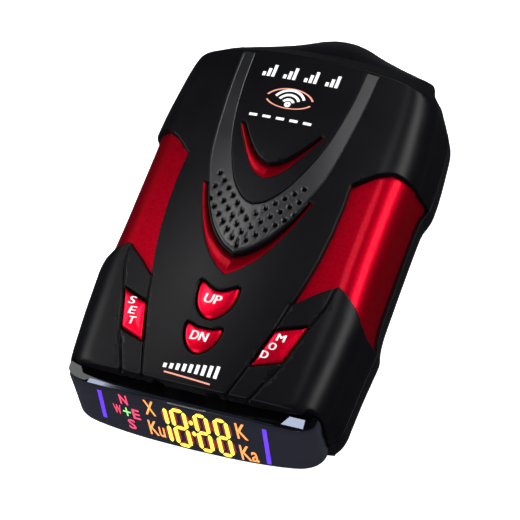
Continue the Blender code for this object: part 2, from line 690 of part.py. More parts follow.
key_board = block("key_board", (-25.0, -46.0, KEY_BOARD_Z), (25.0, -26.0, KEY_BOARD_Z + KEY_BOARD_THICK), BOARD)
for corner, (sx, sy) in CORNERS.items():
    if sy < 0:
        cut(key_board, boss(CASE_SCREW_X * sx, CASE_SCREW_Y[sy], 4.4, 0, 30))
for side_name, sx in (("left", -1), ("right", 1)):
    x = KEY_SCREW_X * sx
    join(top_case, boss(x, KEY_SCREW_Y, 2.2, KEY_BOARD_Z + KEY_BOARD_THICK + GAP, crown(x, KEY_SCREW_Y) - 1.0))
    cut(top_case, boss(x, KEY_SCREW_Y, 1.0, KEY_BOARD_Z - 1, 25))
    cut(key_board, boss(x, KEY_SCREW_Y, 1.2, 0, 30))
    crossed_screw("key_board_screw_" + side_name, x, KEY_SCREW_Y, KEY_BOARD_Z - 0.2, 1.8, 1.2, 0.75,
                  24.0, up=True)

SWITCH_HEIGHT = 3.4
SWITCH_REACH = KEY_STEM_END - 0.7
for key_name, (outline, (cx, cy)) in KEYS.items():
    low = KEY_BOARD_Z + KEY_BOARD_THICK + 0.2
    switch = block("switch_" + key_name.split("_")[1], (cx - 3, cy - 3, low), (cx + 3, cy + 3, low + SWITCH_HEIGHT),
                   TACT)
    join(switch, turned("nub", cx, cy, [(1.6, low + 1), (1.6, SWITCH_REACH)], 12))

# ---------------------------------------------------------------- speaker

SPEAKER_Y = -1.0
SPEAKER_TOP = 27.2
speaker_frame = turned("speaker_frame", 0, SPEAKER_Y, [
    (6.5, 19.4), (6.5, 22.4), (8.0, 22.8), (13.4, 25.6), (14.0, 25.9), (14.0, SPEAKER_TOP)], 28, STEEL)
cut(speaker_frame, turned("dish", 0, SPEAKER_Y, [(5.0, 23.4), (11.8, 25.6), (12.4, SPEAKER_TOP + 1)], 28))
turned("speaker_cone", 0, SPEAKER_Y, [(4.6, 23.9), (11.2, 26.0), (11.6, 26.5), (4.0, 24.8)], 28, PAPER)

# ---------------------------------------------------------------- horn, laser eye, receiver patch, jack

horn_antenna = block("horn_antenna", (-21.0, 12.0, 7.4), (21.0, 45.4, 15.4), CAST)
flare_back = [(-12.0, 15.0, 9.8), (12.0, 15.0, 9.8), (12.0, 15.0, 13.0), (-12.0, 15.0, 13.0)]
flare_front = [(-19.6, 46.0, 8.4), (19.6, 46.0, 8.4), (19.6, 46.0, 14.4), (-19.6, 46.0, 14.4)]
cut(horn_antenna, loft("flare", [flare_back, flare_front]))

block("laser_sensor", (-6.0, 38.0, 15.7), (6.0, 49.0, 20.1), BLACK)
eye_rings = []
for radius, y in ((1.9, 49.3), (1.9, 49.9), (1.4, 50.7), (0.7, 51.1)):
    eye_rings.append([(radius * math.cos(math.tau * i / 16), y, 17.9 + radius * math.sin(math.tau * i / 16))
                      for i in range(16)])
loft("laser_lens", eye_rings, GLOSS)

block("gps_antenna", (-12.5, -25.0, MAIN_Z + MAIN_THICK + GAP), (12.5, 0.0, 11.2), CERAMIC)

JACK_Y = 27.0
JACK_Z = 15.6
cut(top_case, block("jack_port", (-FAR, JACK_Y - 4.3, JACK_Z - 4.3), (-30.0, JACK_Y + 4.3, JACK_Z + 4.3)))
power_jack = block("power_jack", (-37.0, JACK_Y - 4.0, JACK_Z - 4.0), (-24.0, JACK_Y + 4.0, JACK_Z + 4.0), BLACK)


def across(name, radius, x_low, x_high, count=16):
    rings = []
    for x in (x_low, x_high):
        rings.append([(x, JACK_Y + radius * math.cos(math.tau * i / count),
                       JACK_Z + radius * math.sin(math.tau * i / count)) for i in range(count)])
    return loft(name, rings)


cut(power_jack, across("socket", 2.9, -40, -27.5))
join(power_jack, across("pin", 1.0, -36.0, -26.5, 12))
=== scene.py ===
"""Radar detector: the finished look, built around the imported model.

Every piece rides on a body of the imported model, and lengths in the design tables are millimetres.
"""

import math

import bmesh
import bpy
import numpy as np
from mathutils import Matrix, Vector
from mathutils.geometry import tessellate_polygon


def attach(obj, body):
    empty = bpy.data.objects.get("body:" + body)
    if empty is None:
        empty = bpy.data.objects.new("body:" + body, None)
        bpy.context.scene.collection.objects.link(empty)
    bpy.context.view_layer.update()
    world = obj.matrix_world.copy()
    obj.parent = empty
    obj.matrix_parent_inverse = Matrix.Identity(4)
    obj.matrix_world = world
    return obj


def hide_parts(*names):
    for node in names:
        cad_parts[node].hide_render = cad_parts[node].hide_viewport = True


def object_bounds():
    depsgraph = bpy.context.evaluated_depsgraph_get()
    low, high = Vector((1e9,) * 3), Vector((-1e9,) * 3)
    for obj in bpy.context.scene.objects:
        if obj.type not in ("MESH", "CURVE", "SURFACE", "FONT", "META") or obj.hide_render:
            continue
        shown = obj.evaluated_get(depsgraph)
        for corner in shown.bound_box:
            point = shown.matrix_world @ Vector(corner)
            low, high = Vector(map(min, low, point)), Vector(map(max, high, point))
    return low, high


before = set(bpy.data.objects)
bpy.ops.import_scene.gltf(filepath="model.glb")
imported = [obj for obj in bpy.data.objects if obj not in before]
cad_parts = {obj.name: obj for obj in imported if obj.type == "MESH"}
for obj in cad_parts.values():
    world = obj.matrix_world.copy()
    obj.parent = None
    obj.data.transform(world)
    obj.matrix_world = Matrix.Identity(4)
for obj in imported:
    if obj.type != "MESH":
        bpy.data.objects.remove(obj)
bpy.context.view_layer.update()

MM = 0.001
HOUSING = "housing"


# ---------------------------------------------------------------- camera

VIEW_TURN = 39.6           # degrees round from the front, to the right
VIEW_RISE = 57.6           # degrees above the floor
VIEW_TILT = -23.0          # degrees about the line of sight
VIEW_REACH = 0.6533        # metres from the aim point
VIEW_AIM = Vector((0.0011, -0.0095, 0.0146))
LENS_MM = 170.1


def aim_camera():
    turn = math.radians(VIEW_TURN)
    rise = math.radians(VIEW_RISE)
    tilt = math.radians(VIEW_TILT)
    back = Vector((math.sin(turn) * math.cos(rise), -math.cos(turn) * math.cos(rise), math.sin(rise)))
    across = Vector((0, 0, 1)).cross(back).normalized()
    up = back.cross(across)
    right = across * math.cos(tilt) + up * math.sin(tilt)
    over = up * math.cos(tilt) - across * math.sin(tilt)
    data = bpy.data.cameras.new("studio_camera")
    data.lens = LENS_MM
    data.sensor_width = 36.0
    data.clip_start = 0.01
    camera = bpy.data.objects.new("studio_camera", data)
    bpy.context.scene.collection.objects.link(camera)
    turned = Matrix((right, over, back)).transposed().to_4x4()
    camera.matrix_world = Matrix.Translation(VIEW_AIM + back * VIEW_REACH) @ turned
    bpy.context.scene.camera = camera
    return camera


camera = aim_camera()


# ---------------------------------------------------------------- materials

def linear(code):
    """An sRGB hex colour as linear light."""
    parts = [int(code[i:i + 2], 16) / 255 for i in (1, 3, 5)]
    return tuple(p / 12.92 if p <= 0.04045 else ((p + 0.055) / 1.055) ** 2.4 for p in parts) + (1.0,)


def add(tree, kind, links=None, **settings):
    """A node with its settings, and links from other nodes' outputs to its inputs."""
    node = tree.nodes.new("ShaderNode" + kind)
    for key, value in settings.items():
        if hasattr(node, key):
            setattr(node, key, value)
        else:
            node.inputs[key.replace("_", " ")].default_value = value
    for target, source in (links or {}).items():
        tree.links.new(source, node.inputs[target])
    return node


def surface(name, sockets):
    """A material with its Principled shader's own sockets set."""
    made = bpy.data.materials.new(name)
    made.use_nodes = True
    shader = made.node_tree.nodes["Principled BSDF"]
    for key, value in sockets.items():
        shader.inputs[key].default_value = value
    made.diffuse_color = sockets["Base Color"]
    return made, made.node_tree, shader


def per_metre(size_mm):
    """A noise scale whose features are this many millimetres apart."""
    return 1000.0 / size_mm


def moulded(name, colour, lighter, rough, grain_mm, grain_depth, sockets=None):
    """Moulded plastic: a fine spark-eroded grain from the mould, and a faint unevenness in its sheen."""
    made, tree, shader = surface(name, {"Base Color": linear(colour), "Roughness": rough, "IOR": 1.5,
                                        **(sockets or {})})
    place = add(tree, "TexCoord")
    cloud = add(tree, "TexNoise", {"Vector": place.outputs["Object"]}, Scale=per_metre(9.0), Detail=3.0)
    tint = add(tree, "MixRGB", {"Fac": cloud.outputs["Fac"]})
    tint.inputs[1].default_value = linear(colour)
    tint.inputs[2].default_value = linear(lighter)
    tree.links.new(tint.outputs[0], shader.inputs["Base Color"])
    sheen = add(tree, "MapRange", {"Value": cloud.outputs["Fac"]})
    sheen.inputs["To Min"].default_value = rough - 0.04
    sheen.inputs["To Max"].default_value = rough + 0.05
    tree.links.new(sheen.outputs["Result"], shader.inputs["Roughness"])
    grain = add(tree, "TexNoise", {"Vector": place.outputs["Object"]}, Scale=per_metre(grain_mm), Detail=2.0)
    relief = add(tree, "Bump", {"Height": grain.outputs["Fac"]}, Strength=0.35, Distance=grain_depth * MM)
    tree.links.new(relief.outputs["Normal"], shader.inputs["Normal"])
    return made


def lacquered(name, deep, bright, rough, metal, coat):
    """Metallic lacquer: aluminium flakes under a clear red coat, so it glows where light strikes it."""
    made, tree, shader = surface(name, {"Base Color": linear(deep), "Roughness": rough, "Metallic": metal,
                                        "Coat Weight": coat, "Coat Roughness": 0.12, "IOR": 1.5,
                                        "Specular Tint": linear("#ff2038")})
    place = add(tree, "TexCoord")
    flakes = add(tree, "TexVoronoi", {"Vector": place.outputs["Object"]}, Scale=per_metre(0.25))
    tint = add(tree, "MixRGB", {"Fac": flakes.outputs["Color"]})
    tint.inputs[1].default_value = linear(deep)
    tint.inputs[2].default_value = linear(bright)
    tree.links.new(tint.outputs[0], shader.inputs["Base Color"])
    relief = add(tree, "Bump", {"Height": flakes.outputs["Distance"]}, Strength=0.08, Distance=0.02 * MM)
    tree.links.new(relief.outputs["Normal"], shader.inputs["Normal"])
    return made


def polished(name, colour, rough, ior=1.5, tint="#ffffff"):
    """Polished plastic: a mirror skin with the slight waviness that moulding leaves."""
    made, tree, shader = surface(name, {"Base Color": linear(colour), "Roughness": rough, "IOR": ior,
                                        "Specular Tint": linear(tint)})
    place = add(tree, "TexCoord")
    wave = add(tree, "TexNoise", {"Vector": place.outputs["Object"]}, Scale=per_metre(14.0), Detail=1.0)
    relief = add(tree, "Bump", {"Height": wave.outputs["Fac"]}, Strength=0.15, Distance=0.03 * MM)
    tree.links.new(relief.outputs["Normal"], shader.inputs["Normal"])
    return made


def lamp(name, colour, strength):
    """A lit display glyph: light from a diode through a diffusing film."""
    made, tree, shader = surface(name, {"Base Color": linear(colour), "Roughness": 0.5,
                                        "Emission Color": linear(colour), "Emission Strength": strength})
    return made


def metal(name, colour, rough, scratch_mm):
    """Bare or plated metal with fine tooling lines."""
    made, tree, shader = surface(name, {"Base Color": linear(colour), "Roughness": rough, "Metallic": 1.0})
    place = add(tree, "TexCoord")
    lines = add(tree, "TexNoise", {"Vector": place.outputs["Object"]}, Scale=per_metre(scratch_mm),
                Detail=4.0)
    spread = add(tree, "MapRange", {"Value": lines.outputs["Fac"]})
    spread.inputs["To Min"].default_value = rough - 0.1
    spread.inputs["To Max"].default_value = rough + 0.12
    tree.links.new(spread.outputs["Result"], shader.inputs["Roughness"])
    return made


# Case: ABS moulded against a spark-eroded tool, so it looks satin black with a fine tooth
black_abs = moulded("moulded_black_abs", "#040406", "#07070a", 0.33, 0.35, 0.02, {"Specular IOR Level": 0.1})
# Speaker plate: the same ABS with a finer tooth, a little greyer where light rakes it
grille_abs = moulded("grille_black_abs", "#09090c", "#0f0f13", 0.33, 0.25, 0.02, {"Specular IOR Level": 0.5})
# Side trims and scoops: red metallic lacquer over ABS, deep red with a soft pink streak where it turns
red_lacquer = lacquered("red_metallic_lacquer", "#74000b", "#9c001a", 0.36, 0.8, 0.03)
# Keys: the same red lacquer made brighter than the trims as a painted highlight, so each cap reads as a small
# domed highlight
key_lacquer_painted_highlight = lacquered("key_red_painted_highlight_lacquer", "#b40016", "#de0430", 0.28, 0.75, 0.06)
# Display cover: smoked acrylic, near black with a mirror skin
smoked_acrylic = polished("smoked_acrylic", "#1f2028", 0.06, 1.45)
# Display carrier: gloss-moulded ABS, a black that only shows at grazing light
head_gloss = polished("head_gloss_abs", "#060608", 0.06, 1.2)
# Ledge lip and facet: polished edges that catch a cool white line
edge_gloss = polished("ledge_edge_gloss", "#10131a", 0.10, 1.85, "#d4e0ff")
# Rear window and laser lens: infrared-pass acrylic, black with a faint violet depth
infrared_acrylic = polished("infrared_acrylic", "#070509", 0.07, 1.4)
# Print: pad-printed ink, white and orange, flat and slightly chalky against the case
white_ink = moulded("white_pad_ink", "#f4f4f4", "#ffffff", 0.45, 0.2, 0.004)
orange_ink = moulded("orange_pad_ink", "#f0917c", "#f8a48e", 0.45, 0.2, 0.004)
# Display glyphs: back-lit film, coloured light with no surface of its own
amber_lamp = lamp("amber_display_lamp", "#ffdc3c", 1.0)
orange_lamp = lamp("orange_display_lamp", "#ff8a3c", 0.9)
pink_lamp = lamp("red_display_lamp", "#e02c58", 0.8)
green_lamp = lamp("green_display_lamp", "#7ee070", 0.8)
violet_lamp = lamp("violet_display_lamp", "#4c16dc", 0.9)
halo_lamp = lamp("amber_glow_film", "#7c1418", 0.45)
# Screws, boards and inner parts: plated, cast or moulded, each dull beside the lacquer
zinc_steel = metal("zinc_plated_steel", "#c2c3c6", 0.34, 0.4)
cast_zinc = metal("die_cast_zinc", "#a9abad", 0.45, 0.8)
foot_rubber = moulded("moulded_foot_rubber", "#141414", "#1b1b1b", 0.8, 0.5, 0.04)
solder_mask = moulded("green_solder_mask", "#0d3b22", "#12502e", 0.35, 0.6, 0.01)
cone_paper = moulded("treated_cone_paper", "#2a2927", "#34322f", 0.9, 0.4, 0.05)
fired_ceramic = moulded("fired_ceramic", "#cbbf9f", "#d6ccb0", 0.6, 0.3, 0.02)
socket_nylon = moulded("socket_nylon", "#121212", "#191919", 0.5, 0.3, 0.02)


# ---------------------------------------------------------------- design curves

PLACE_Y = -2.25            # centres the design tables on the object's box
CROWN_Z = 31.4
CROWN_Y = -3.0
CROWN_X_FALL = 0.0026
CROWN_Y_FALL = 0.00055
SEAM_LOW = 9.85
SEAM_HIGH = 10.15
BASE_Z = 1.0
SILL_Y = -51.0
BROW_Z = 25.6
TRIM_SIDE_DROP = 0.9
TRIM_TOP_DROP = 1.9
SLOPE_FALL = 1.25
HEAD_LOW = 6.6
HEAD_HIGH = 23.0

CASE_BASE = [
    (0, 56.0), (10, 55.9), (20, 55.4), (26, 54.9), (29.8, 53.8), (32.6, 51.4), (34.4, 48.4),
    (36.2, 45.2), (38.1, 41.2), (38.9, 35), (39.5, 27.5), (39.7, 21.4), (39.0, 18.0), (38.2, 14.8),
    (38.0, 5), (38.0, -8), (38.1, -17), (38.6, -21.5), (39.4, -24.8), (39.1, -29.5), (38.6, -36.4),
    (38.3, -43.3), (38.0, -48.2), (36.4, -51.6), (33.4, -53.1), (14, -53.6), (0, -53.7),
]
CASE_SIDE = [
    (0, 54.6), (10, 54.4), (19.8, 53.5), (25, 52.7), (28.8, 51.7), (31.8, 50.2), (33.9, 48.0),
    (35.3, 45.2), (36.3, 41.0), (37.0, 34.5), (37.7, 27.0), (38.0, 21.2), (37.9, 18.0), (37.75, 14.6),
    (37.6, 5), (37.6, -8), (37.8, -17), (38.1, -21.5), (38.25, -24.8), (37.9, -29.5), (37.5, -36.4),
    (36.9, -43.3), (36.2, -49.0), (35.3, -52.0), (33.0, -53.2), (14, -53.4), (0, -53.5),
]
CASE_TOP = [
    (0, 51.6), (9.8, 51.4), (19.0, 50.4), (23.6, 49.2), (26.2, 47.8), (27.4, 45.8), (27.8, 43.6),
    (28.0, 41.2), (28.2, 37.6), (28.4, 32.4), (28.6, 26.0), (28.6, 20.6), (28.6, 17.6), (28.6, 14.2),
    (28.6, 5), (28.6, -8), (28.9, -17), (29.0, -21), (29.0, -24), (28.9, -29), (28.6, -35.5),
    (28.2, -42), (28.0, -47.6), (27.4, -51.2), (24.4, -52.3), (12, -52.9), (0, -53.1),
]
SLOPE_LINE = [(0, 48.0), (12, 47.9), (20, 47.3), (25, 46.7), (29, 45.7), (32, 44.2), (34.5, 42.0), (37, 38.8),
              (41, 33.0)]
TRIM_OUTLINE = [
    (23.5, 12.2), (28.5, 16.8), (33.0, 19.2), (70, 19.2), (70, -24.6), (38.3, -24.6),
    (35.8, -21.0), (32.6, -18.2), (29.6, -16.8), (24.7, -20.8), (19.8, -25.4),
    (21.3, -19.0), (22.6, -11.5), (23.4, -3.0), (23.7, 5.0),
]
BAND_OUTER = [(0, -14.9), (3.6, -12.8), (7.8, -8.3), (11.4, -2.2), (13.9, 4.0), (16.2, 10.5),
              (17.6, 18.0), (18.6, 27.0), (19.4, 36.0), (19.8, 46.4)]
BAND_INNER = [(0, 0.3), (2.6, 1.2), (5.0, 3.2), (7.8, 7.0), (10.2, 12.0), (12.0, 16.6),
              (13.6, 22.0), (14.9, 28.5), (15.9, 37.0), (16.4, 46.4)]
UPPER_OUTER = [(0, 8.4), (3.1, 9.9), (6.0, 13.3), (8.6, 17.8), (10.6, 21.2), (11.9, 23.8)]
UPPER_INNER = [(0, 13.1), (3.0, 14.3), (5.6, 16.8), (7.9, 19.8), (9.6, 22.4), (10.9, 24.4)]
LOWER_OUTER = [(0, -21.4), (3.4, -18.9), (7.4, -14.5), (10.8, -8.6), (13.5, -2.2), (15.7, 4.2)]
LOWER_INNER = [(0, -15.5), (3.9, -13.4), (8.2, -8.9), (11.6, -2.9), (13.3, 1.2), (14.4, 4.6)]
UP_KEY = [(0, -25.9), (2.2, -25.4), (4.2, -24.3), (5.3, -24.0), (5.9, -25.2), (5.7, -28.0),
          (4.9, -30.8), (3.4, -33.0), (1.6, -34.4), (0, -34.8)]
DOWN_KEY = [(0, -36.9), (2.2, -36.8), (4.2, -36.2), (5.0, -36.2), (5.4, -37.4), (5.0, -39.8),
            (3.9, -42.2), (2.3, -43.9), (1.0, -44.6), (0, -44.7)]
SET_KEY = [(26.2, -29.6), (17.8, -33.0), (14.7, -44.6), (22.7, -41.5)]
GROOVES = [
    [(29.2, -17.0), (28.4, -23.4), (26.4, -29.6), (23.0, -41.4), (20.0, -48.0), (17.2, -54.5)],
    [(19.6, -25.4), (18.0, -33.0), (15.6, -41.0), (13.8, -47.0), (11.4, -54.5)],
]
HEAD_FOOT = [(0, -61.5), (14, -61.2), (26, -60.2), (31.8, -58.8), (34.8, -55.8), (35.0, -51.3)]
HEAD_BROW = [(0, -55.9), (14, -55.9), (25, -55.8), (31.2, -55.5), (34.4, -54.0), (34.9, -51.3)]
WINDOW_LOW = [(0, 64.6), (3.3, 64.3), (7.3, 63.3), (12.3, 61.3),
              (18, 59.2), (24.8, 57.2), (28.4, 55.2), (29.2, 50.0)]
WINDOW_CREST = [(0, 66.4), (3.3, 66.1), (7.3, 65.0), (12.3, 62.9),
                (18, 60.9), (24.8, 58.8), (29.2, 56.8), (30.4, 50.0)]
WINDOW_HIGH = [(0, 55.4), (3.3, 55.3), (7.3, 55.1), (12.3, 54.8),
               (18, 54.2), (23.6, 53.4), (26.4, 52.6), (27.4, 48.0)]


def flow(points, steps):
    """A Catmull-Rom curve through points, ends included, with steps for each stretch or for all."""
    p = np.array(points, float)
    counts = [steps] * (len(p) - 1) if isinstance(steps, int) else steps
    run = np.vstack([2 * p[0] - p[1], p, 2 * p[-1] - p[-2]])
    out = []
    for i, count in enumerate(counts):
        a, b, c, d = run[i:i + 4]
        for t in np.arange(count) / count:
            out.append(0.5 * (2 * b + (c - a) * t + (2 * a - 5 * b + 4 * c - d) * t * t
                              + (3 * b - a - 3 * c + d) * t ** 3))
    out.append(p[-1])
    return np.array(out)


def whole(half, steps):
    """A closed outline mirrored across x = 0, smooth where it crosses."""
    counts = [steps] * (len(half) - 1) if isinstance(steps, int) else steps
    ends = [(-half[1][0], half[1][1]), *half, (-half[-2][0], half[-2][1])]
    path = flow(ends, [counts[0], *counts, counts[-1]])[counts[0]:-counts[-1]]
    path[0, 0] = path[-1, 0] = 0.0
    other = path[1:-1][::-1] * np.array([-1, 1])
    return np.vstack([path, other])


def both_arms(half, steps):
    """An open curve from the left end through x = 0 to the right end."""
    arm = flow(half, steps)
    return np.vstack([arm[1:][::-1] * np.array([-1, 1]), arm])


def mirrored(points):
    return [(-x, y) for x, y in reversed(points)]


def crown(x, y):
    return CROWN_Z - CROWN_X_FALL * x * x - CROWN_Y_FALL * (y - CROWN_Y) ** 2


def inward(outline, distance):
    """Moves a closed outline toward its inside."""
    before = np.roll(outline, 1, 0)
    after = np.roll(outline, -1, 0)
    along = after - before
    along /= np.maximum(np.linalg.norm(along, axis=1, keepdims=True), 1e-9)
    area = np.sum(outline[:, 0] * after[:, 1] - after[:, 0] * outline[:, 1])
    side = 1 if area > 0 else -1
    return outline + np.column_stack([-along[:, 1], along[:, 0]]) * side * distance


def gap_to_line(points, line, closed):
    """Distance from each point to a run of straight pieces."""
    ends = np.roll(line, -1, 0) if closed else line[1:]
    starts = line if closed else line[:-1]
    best = np.full(len(points), 1e9)
    for a, b in zip(starts, ends):
        run = b - a
        size = max(float(run @ run), 1e-12)
        t = np.clip(((points - a) @ run) / size, 0, 1)
        best = np.minimum(best, np.hypot(*(points - a - t[:, None] * run).T))
    return best


def signed_gap(points, outline):
    """Distance to a closed outline, negative inside it."""
    near = gap_to_line(points, outline, True)
    inside = np.zeros(len(points), bool)
    ends = np.roll(outline, -1, 0)
    for (ax, ay), (bx, by) in zip(outline, ends):
        if ay == by:
            continue
        crossing = (ay > points[:, 1]) != (by > points[:, 1])
        at = ax + (points[:, 1] - ay) * (bx - ax) / (by - ay)
        inside ^= crossing & (points[:, 0] < at)
    return np.where(inside, -near, near)


def ease(value, low, high):
    """0 at low, 1 at high, with soft ends."""
    t = np.clip((value - low) / (high - low), 0, 1)
    return t * t * (3 - 2 * t)


# ---------------------------------------------------------------- pieces

def piece(name, points, faces, material, body=HOUSING, slot=None, replaces=(), smooth=True, angle=None):
    """A mesh piece from millimetre points, riding on a body."""
    mesh = bpy.data.meshes.new(name)
    placed = (np.asarray(points, float) + np.array([0, PLACE_Y, 0])) * MM
    mesh.from_pydata(placed.tolist(), [], faces)
    mesh.validate()
    work = bmesh.new()
    work.from_mesh(mesh)
    bmesh.ops.remove_doubles(work, verts=work.verts, dist=0.002 * MM)
    bmesh.ops.recalc_face_normals(work, faces=work.faces)
    work.to_mesh(mesh)
    work.free()
    if smooth:
        mesh.shade_smooth()
        if angle:
            mesh.set_sharp_from_angle(angle=math.radians(angle))
    mesh.materials.append(material)
    made = bpy.data.objects.new(name, mesh)
    bpy.context.scene.collection.objects.link(made)
    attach(made, body)
    if replaces:
        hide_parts(*replaces)
    return made


def net(rings, closed=True):
    """Points and quads of a net of equal rings."""
    levels, count = rings.shape[:2]
    idx = np.arange(levels * count).reshape(levels, count)
    after = np.roll(idx, -1, 1) if closed else idx[:, 1:]
    here = idx if closed else idx[:, :-1]
    quads = np.stack([here[:-1], after[:-1], after[1:], here[1:]], -1).reshape(-1, 4)
    return rings.reshape(-1, 3), quads.tolist()


REFINE = 4                 # fine cells along each side of a coarse one
CELL = 1.0                 # about a coarse cell's width
WIDEST = 39.65
WALL_CELLS = 6
ROLL_CELLS = 13
CROWN_CELLS = 29
side_runs = np.hypot(*np.diff(np.array(CASE_SIDE, float), axis=0).T)
case_steps = [REFINE * max(1, round(run / CELL)) for run in side_runs]
base_line = whole(CASE_BASE, case_steps)
base_line[:, 0] = np.clip(base_line[:, 0], -WIDEST, WIDEST)
side_line = whole(CASE_SIDE, case_steps)
top_line = whole(CASE_TOP, case_steps)
slope_line = both_arms(SLOPE_LINE, 6)
SPINE = (-27.0, 25.0)


def under_slope(rings, drop=0.0):
    """Lowers what stands above the rear slope, with the crease a little rounded."""
    x, y, z = rings[..., 0], rings[..., 1], rings[..., 2]
    line = np.interp(np.abs(x), slope_line[slope_line[:, 0] >= 0, 0], slope_line[slope_line[:, 0] >= 0, 1])
    limit = crown(x, line) - drop - SLOPE_FALL * (y - line)
    soft = 0.35
    blend = np.clip(0.5 + 0.5 * (limit - z) / soft, 0, 1)
    low = limit * (1 - blend) + z * blend - soft * blend * (1 - blend)
    rings[..., 2] = np.where(y > 30, np.minimum(z, low), z)
    return rings


def case_net(inset_side, inset_top, low):
    """The case's outer form as rings from the seam up: walls, rolled shoulder and crowned top."""
    base = inward(base_line, inset_side) if inset_side else base_line
    side = inward(side_line, inset_side) if inset_side else side_line
    dx = top_line - side
    reach = np.maximum(np.hypot(*dx.T), 0.3)
    way = dx / reach[:, None]
    edge = side + way * reach[:, None]
    edge_z = crown(edge[:, 0], edge[:, 1]) - inset_top
    fall = -way[:, 0] * 2 * CROWN_X_FALL * edge[:, 0] - way[:, 1] * 2 * CROWN_Y_FALL * (edge[:, 1] - CROWN_Y)
    last = math.pi / 2 - np.arctan(np.maximum(fall, 0))
    radius = reach / (1 - np.cos(last))
    rings = []
    for share in np.linspace(0, 1, WALL_CELLS * REFINE + 1):
        z = low + (edge_z - radius * np.sin(last) - low) * share
        rings.append(np.column_stack([base + (side - base) * share, z]))
    for share in np.linspace(0, 1, ROLL_CELLS * REFINE + 1)[1:]:
        at = side + way * (radius * (1 - np.cos(last * share)))[:, None]
        rings.append(np.column_stack([at, edge_z - radius * (np.sin(last) - np.sin(last * share))]))
    spine = np.column_stack([np.zeros(len(edge)), np.clip(edge[:, 1], *SPINE)])
    for share in np.linspace(0, 1, CROWN_CELLS * REFINE + 1)[1:]:
        at = edge + (spine - edge) * share
        rings.append(np.column_stack([at, crown(at[:, 0], at[:, 1]) - inset_top]))
    return under_slope(np.array(rings), inset_top)


def net_normals(rings):
    """Unit normals of a net of closed rings, pointing out."""
    round_way = np.roll(rings, -1, 1) - np.roll(rings, 1, 1)
    up_way = np.gradient(rings, axis=0)
    normal = np.cross(up_way, round_way)
    normal /= np.maximum(np.linalg.norm(normal, axis=2, keepdims=True), 1e-9)
    middle = rings.reshape(-1, 3).mean(0)
    if np.sum((rings - middle) * normal) < 0:
        normal = -normal
    return normal


band_outline = np.vstack([both_arms(BAND_INNER, 8), both_arms(BAND_OUTER, 8)[::-1]])
upper_outline = np.vstack([both_arms(UPPER_INNER, 8), both_arms(UPPER_OUTER, 8)[::-1]])
lower_outline = np.vstack([both_arms(LOWER_INNER, 8), both_arms(LOWER_OUTER, 8)[::-1]])


def rounded_corners(points, radius, steps=6):
    """A closed outline with each corner turned into an arc-like curve."""
    out = []
    p = np.array(points, float)
    for i in range(len(p)):
        here = p[i]
        before = p[i - 1] - here
        after = p[(i + 1) % len(p)] - here
        a = here + before / np.linalg.norm(before) * radius
        b = here + after / np.linalg.norm(after) * radius
        for t in np.linspace(0, 1, steps):
            out.append((1 - t) ** 2 * a + 2 * t * (1 - t) * here + t * t * b)
    return np.array(out)


key_outlines = {
    "button_up": whole(UP_KEY, 6),
    "button_down": whole(DOWN_KEY, 6),
    "button_set": rounded_corners(mirrored(SET_KEY), 0.9),
    "button_mode": rounded_corners(SET_KEY, 0.9),
}
trim_outlines = {"right": np.array(TRIM_OUTLINE, float), "left": np.array(mirrored(TRIM_OUTLINE), float)}
JACK_Y = 27.0
JACK_Z = 15.6
JACK_HALF = 4.3
JACK_DEPTH = 9.0
groove_lines = [flow([(x * s, y) for x, y in line], 6) for line in GROOVES for s in (1, -1)]


TRIM_RECESS = 3.0
BAND_RECESS = 1.5
SCOOP_RECESS = 2.4
KEY_POCKET_DEPTH = 3.0
KEY_SKIRT_DROP = 2.6
GROOVE_DEPTH = 0.8
FINE_WITHIN = 0.95


def carve(flat):
    """How far each point of the skin is sunk below its smooth form, and how near a sharp edge it is."""
    plan = flat[:, :2]
    sunk = np.zeros(len(flat))
    near = np.full(len(flat), 9.0)
    on_top = flat[:, 2] > 24.0
    anywhere = np.ones(len(flat), bool)
    seats = [(outline, TRIM_RECESS, -0.25, 0.45, anywhere) for outline in trim_outlines.values()]
    seats += [(band_outline, BAND_RECESS, -0.08, 0.28, on_top)]
    seats += [(outline, SCOOP_RECESS, -0.08, 0.28, on_top) for outline in (upper_outline, lower_outline)]
    seats += [(outline, KEY_POCKET_DEPTH, -0.15, 0.25, on_top) for outline in key_outlines.values()]
    for outline, depth, start, end, where in seats:
        low, high = outline.min(0) - 2.0, outline.max(0) + 2.0
        here = where & np.all((plan > low) & (plan < high), axis=1)
        gap = signed_gap(plan[here], outline)
        sunk[here] = np.maximum(sunk[here], depth * ease(-gap, start, end))
        near[here] = np.minimum(near[here], np.abs(gap))
    for line in groove_lines:
        low, high = line.min(0) - 2.0, line.max(0) + 2.0
        here = on_top & np.all((plan > low) & (plan < high), axis=1)
        gap = gap_to_line(plan[here], line, False)
        depth = GROOVE_DEPTH * (1 - ease(gap, 0.12, 0.5)) * ease(flat[here, 2], 27.2, 28.4)
        sunk[here] = np.maximum(sunk[here], depth)
        near[here] = np.minimum(near[here], gap)
    from_jack = np.maximum(np.abs(flat[:, 1] - JACK_Y), np.abs(flat[:, 2] - JACK_Z)) - JACK_HALF
    from_jack[flat[:, 0] > -30] = 9.0
    sunk = np.maximum(sunk, JACK_DEPTH * ease(-from_jack, -0.15, 0.15))
    near = np.minimum(near, np.abs(from_jack))
    front = (flat[:, 1] < SILL_Y - 1) & (np.abs(flat[:, 0]) < 37)
    near[front] = np.minimum(near[front], np.abs(flat[front, 2] - BROW_Z - 0.2) * 0.8)
    line_y = np.interp(np.abs(flat[:, 0]), SLOPE_X, SLOPE_Y)
    crease = (flat[:, 1] > 30) & on_top
    near[crease] = np.minimum(near[crease], np.abs(flat[crease, 1] - line_y[crease]))
    return sunk, near


SLOPE_X, SLOPE_Y = slope_line[slope_line[:, 0] >= 0].T


